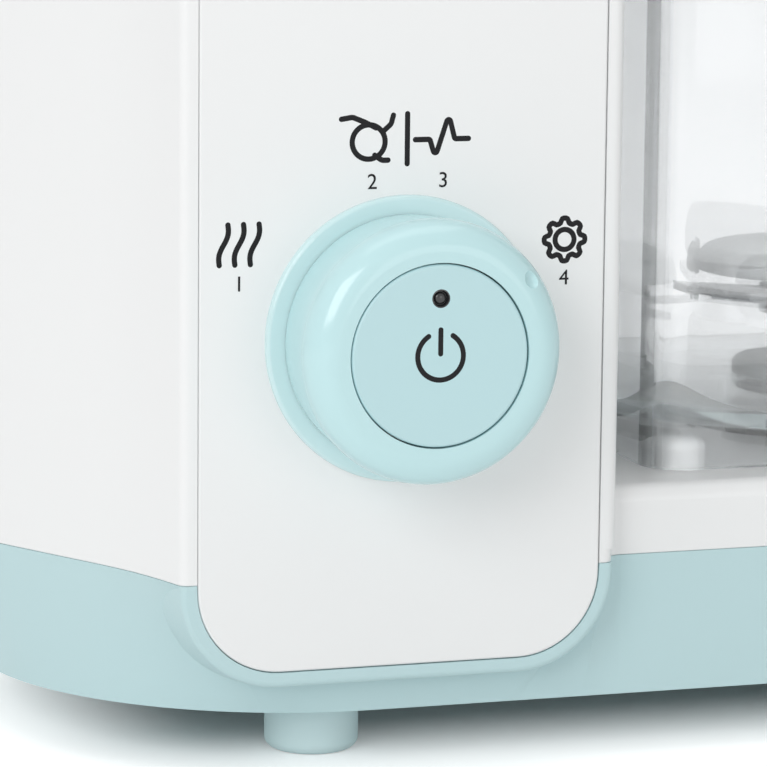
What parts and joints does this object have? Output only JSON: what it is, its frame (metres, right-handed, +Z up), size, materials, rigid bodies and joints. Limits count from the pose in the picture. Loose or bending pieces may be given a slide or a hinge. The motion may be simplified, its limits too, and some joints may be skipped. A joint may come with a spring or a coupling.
{
  "type": "baby food maker",
  "caption": "Countertop steamer and blender for baby food: white tower with a turning dial and push button, teal base, clear square jug with blade, basket and lid.",
  "frame": {"origin": "middle of the footprint on the table, under the bounding box", "axes": "+Z up, -Y towards the front panel and dial, +X towards the jug and its handle"},
  "size_m": [0.256, 0.1482, 0.2158],
  "materials": {
    "white_plastic": "moulded, soft gloss",
    "teal_plastic": "moulded, satin",
    "teal_dial": "moulded, high gloss",
    "clear_plastic": "clear moulded plastic",
    "frosted_plastic": "milky, satin",
    "lamp_plastic": "smoked clear window",
    "blade_steel": "ground and polished",
    "boiler_aluminium": "die cast",
    "heater_steel": "oxidised tube",
    "bush_brass": "sintered",
    "dark_plastic": "moulded nylon",
    "board_green": "solder mask",
    "belt_rubber": "moulded rubber",
    "silicone": "translucent silicone"
  },
  "bodies": {
    "body": {"housing": "white_plastic", "front_panel": "white_plastic", "water_tank": "white_plastic", "button_guide": "white_plastic", "base_shell": "teal_plastic", "foot_front_left": "teal_plastic", "foot_front_right": "teal_plastic", "foot_back_left": "teal_plastic", "foot_back_right": "teal_plastic", "dial_bezel": "teal_dial", "hinge_pin": "blade_steel", "foot_screws": "blade_steel", "motor": "blade_steel", "motor_bracket": "blade_steel", "boiler_cup": "boiler_aluminium", "boiler_cover": "boiler_aluminium", "bearing_housing": "boiler_aluminium", "heating_element": "heater_steel", "thermostat": "heater_steel", "bush_lower": "bush_brass", "bush_upper": "bush_brass", "push_switch": "dark_plastic", "control_board_parts": "dark_plastic", "power_board_parts": "dark_plastic", "control_board": "board_green", "power_board": "board_green", "drive_belt": "belt_rubber", "cord_grommet": "belt_rubber", "tank_seal": "silicone", "water_tube": "silicone", "steam_tube": "silicone", "steam_nozzle": "silicone"},
    "dial": {"dial": "teal_dial", "dial_rotor": "dark_plastic"},
    "power_button": {"power_button": "teal_dial", "lamp_window": "lamp_plastic"},
    "motor_rotor": {"motor_shaft": "blade_steel", "motor_pulley": "dark_plastic"},
    "spindle": {"spindle": "blade_steel", "spindle_pulley": "dark_plastic", "drive_coupling": "dark_plastic"},
    "jug": {"jug": "clear_plastic", "jug_handle": "white_plastic", "blade_holder": "dark_plastic", "holder_nut": "dark_plastic", "shaft_seal": "silicone"},
    "blade": {"jug_coupling": "dark_plastic", "blade_shaft": "blade_steel", "blade_lower": "blade_steel", "blade_upper": "blade_steel", "blade_spacers": "blade_steel", "blade_cap": "white_plastic"},
    "steam_basket": {"steam_basket": "frosted_plastic"},
    "jug_lid": {"jug_lid": "teal_plastic", "lid_seal": "silicone"},
    "lid_stopper": {"lid_stopper": "teal_plastic"},
    "tank_lid": {"tank_lid": "teal_plastic"}
  },
  "joints": [
    {"name": "spindle_spin", "type": "hinge", "parent": "body", "child": "spindle", "pos_m": [0.041, 0.01205, 0.049], "axis": [0, 0, 1], "continuous": true},
    {"name": "motor_spin", "type": "hinge", "parent": "body", "child": "motor_rotor", "pos_m": [-0.072, 0.01205, 0.049], "axis": [0, 0, 1], "continuous": true},
    {"name": "dial_turn", "type": "hinge", "parent": "body", "child": "dial", "pos_m": [-0.062, -0.05395, 0.0783], "axis": [0, -1, 0], "range_deg": [0, 118]},
    {"name": "button_press", "type": "slide", "parent": "body", "child": "power_button", "axis": [0, 1, 0], "range_m": [0, 0.001], "stiffness_N_per_m": 1500, "springref_m": -0.001},
    {"name": "tank_lid_hinge", "type": "hinge", "parent": "body", "child": "tank_lid", "pos_m": [-0.058, 0.06445, 0.212], "axis": [-1, 0, 0], "range_deg": [0, 100]},
    {"name": "jug_lift", "type": "slide", "parent": "body", "child": "jug", "axis": [0, 0, 1], "range_m": [0, 0.15]},
    {"name": "blade_spin", "type": "hinge", "parent": "jug", "child": "blade", "pos_m": [0.041, 0.01205, 0.049], "axis": [0, 0, 1], "continuous": true},
    {"name": "basket_lift", "type": "slide", "parent": "jug", "child": "steam_basket", "axis": [0, 0, 1], "range_m": [0, 0.06]},
    {"name": "lid_lift", "type": "slide", "parent": "steam_basket", "child": "jug_lid", "axis": [0, 0, 1], "range_m": [0, 0.05]},
    {"name": "stopper_lift", "type": "slide", "parent": "jug_lid", "child": "lid_stopper", "axis": [0, 0, 1], "range_m": [0, 0.03]}
  ],
  "couplings": [
    {"joint": "motor_spin", "follows": "spindle_spin", "ratio": 2.2222},
    {"joint": "blade_spin", "follows": "spindle_spin", "ratio": 1}
  ]
}
